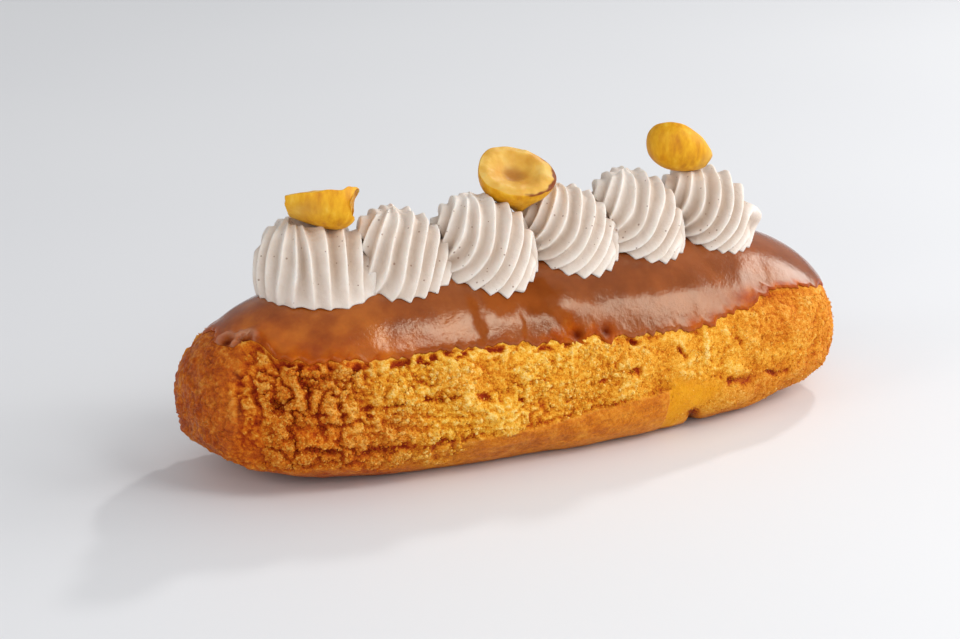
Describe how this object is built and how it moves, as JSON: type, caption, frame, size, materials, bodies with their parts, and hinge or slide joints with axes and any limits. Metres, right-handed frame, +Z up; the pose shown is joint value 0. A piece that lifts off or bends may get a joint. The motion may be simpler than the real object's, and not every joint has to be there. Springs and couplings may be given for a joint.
{
  "type": "eclair",
  "caption": "Oblong choux pastry with a flat base, a caramel glaze over its top, a row of fluted piped cream along the crown and broken roasted hazelnuts on the cream.",
  "frame": {"origin": "middle of the flat base, centred under the whole eclair", "axes": "+X along the length, from the end that is nearer in the picture to the farther end; +Z up; -Y is the side that the picture shows"},
  "size_m": [0.13, 0.0435, 0.054],
  "materials": {
    "choux": "baked choux crust, golden to orange brown, dry and craggy",
    "glaze": "caramel fondant, glossy",
    "cream": "piped cream, off-white, satin",
    "hazelnut": "roasted hazelnut, golden, dry"
  },
  "bodies": {
    "root": {"choux": "choux", "glaze": "glaze", "cream_1": "cream", "cream_2": "cream", "cream_3": "cream", "cream_4": "cream", "cream_5": "cream", "cream_6": "cream", "hazelnut_1": "hazelnut", "hazelnut_2": "hazelnut", "hazelnut_3": "hazelnut"}
  },
  "joints": []
}
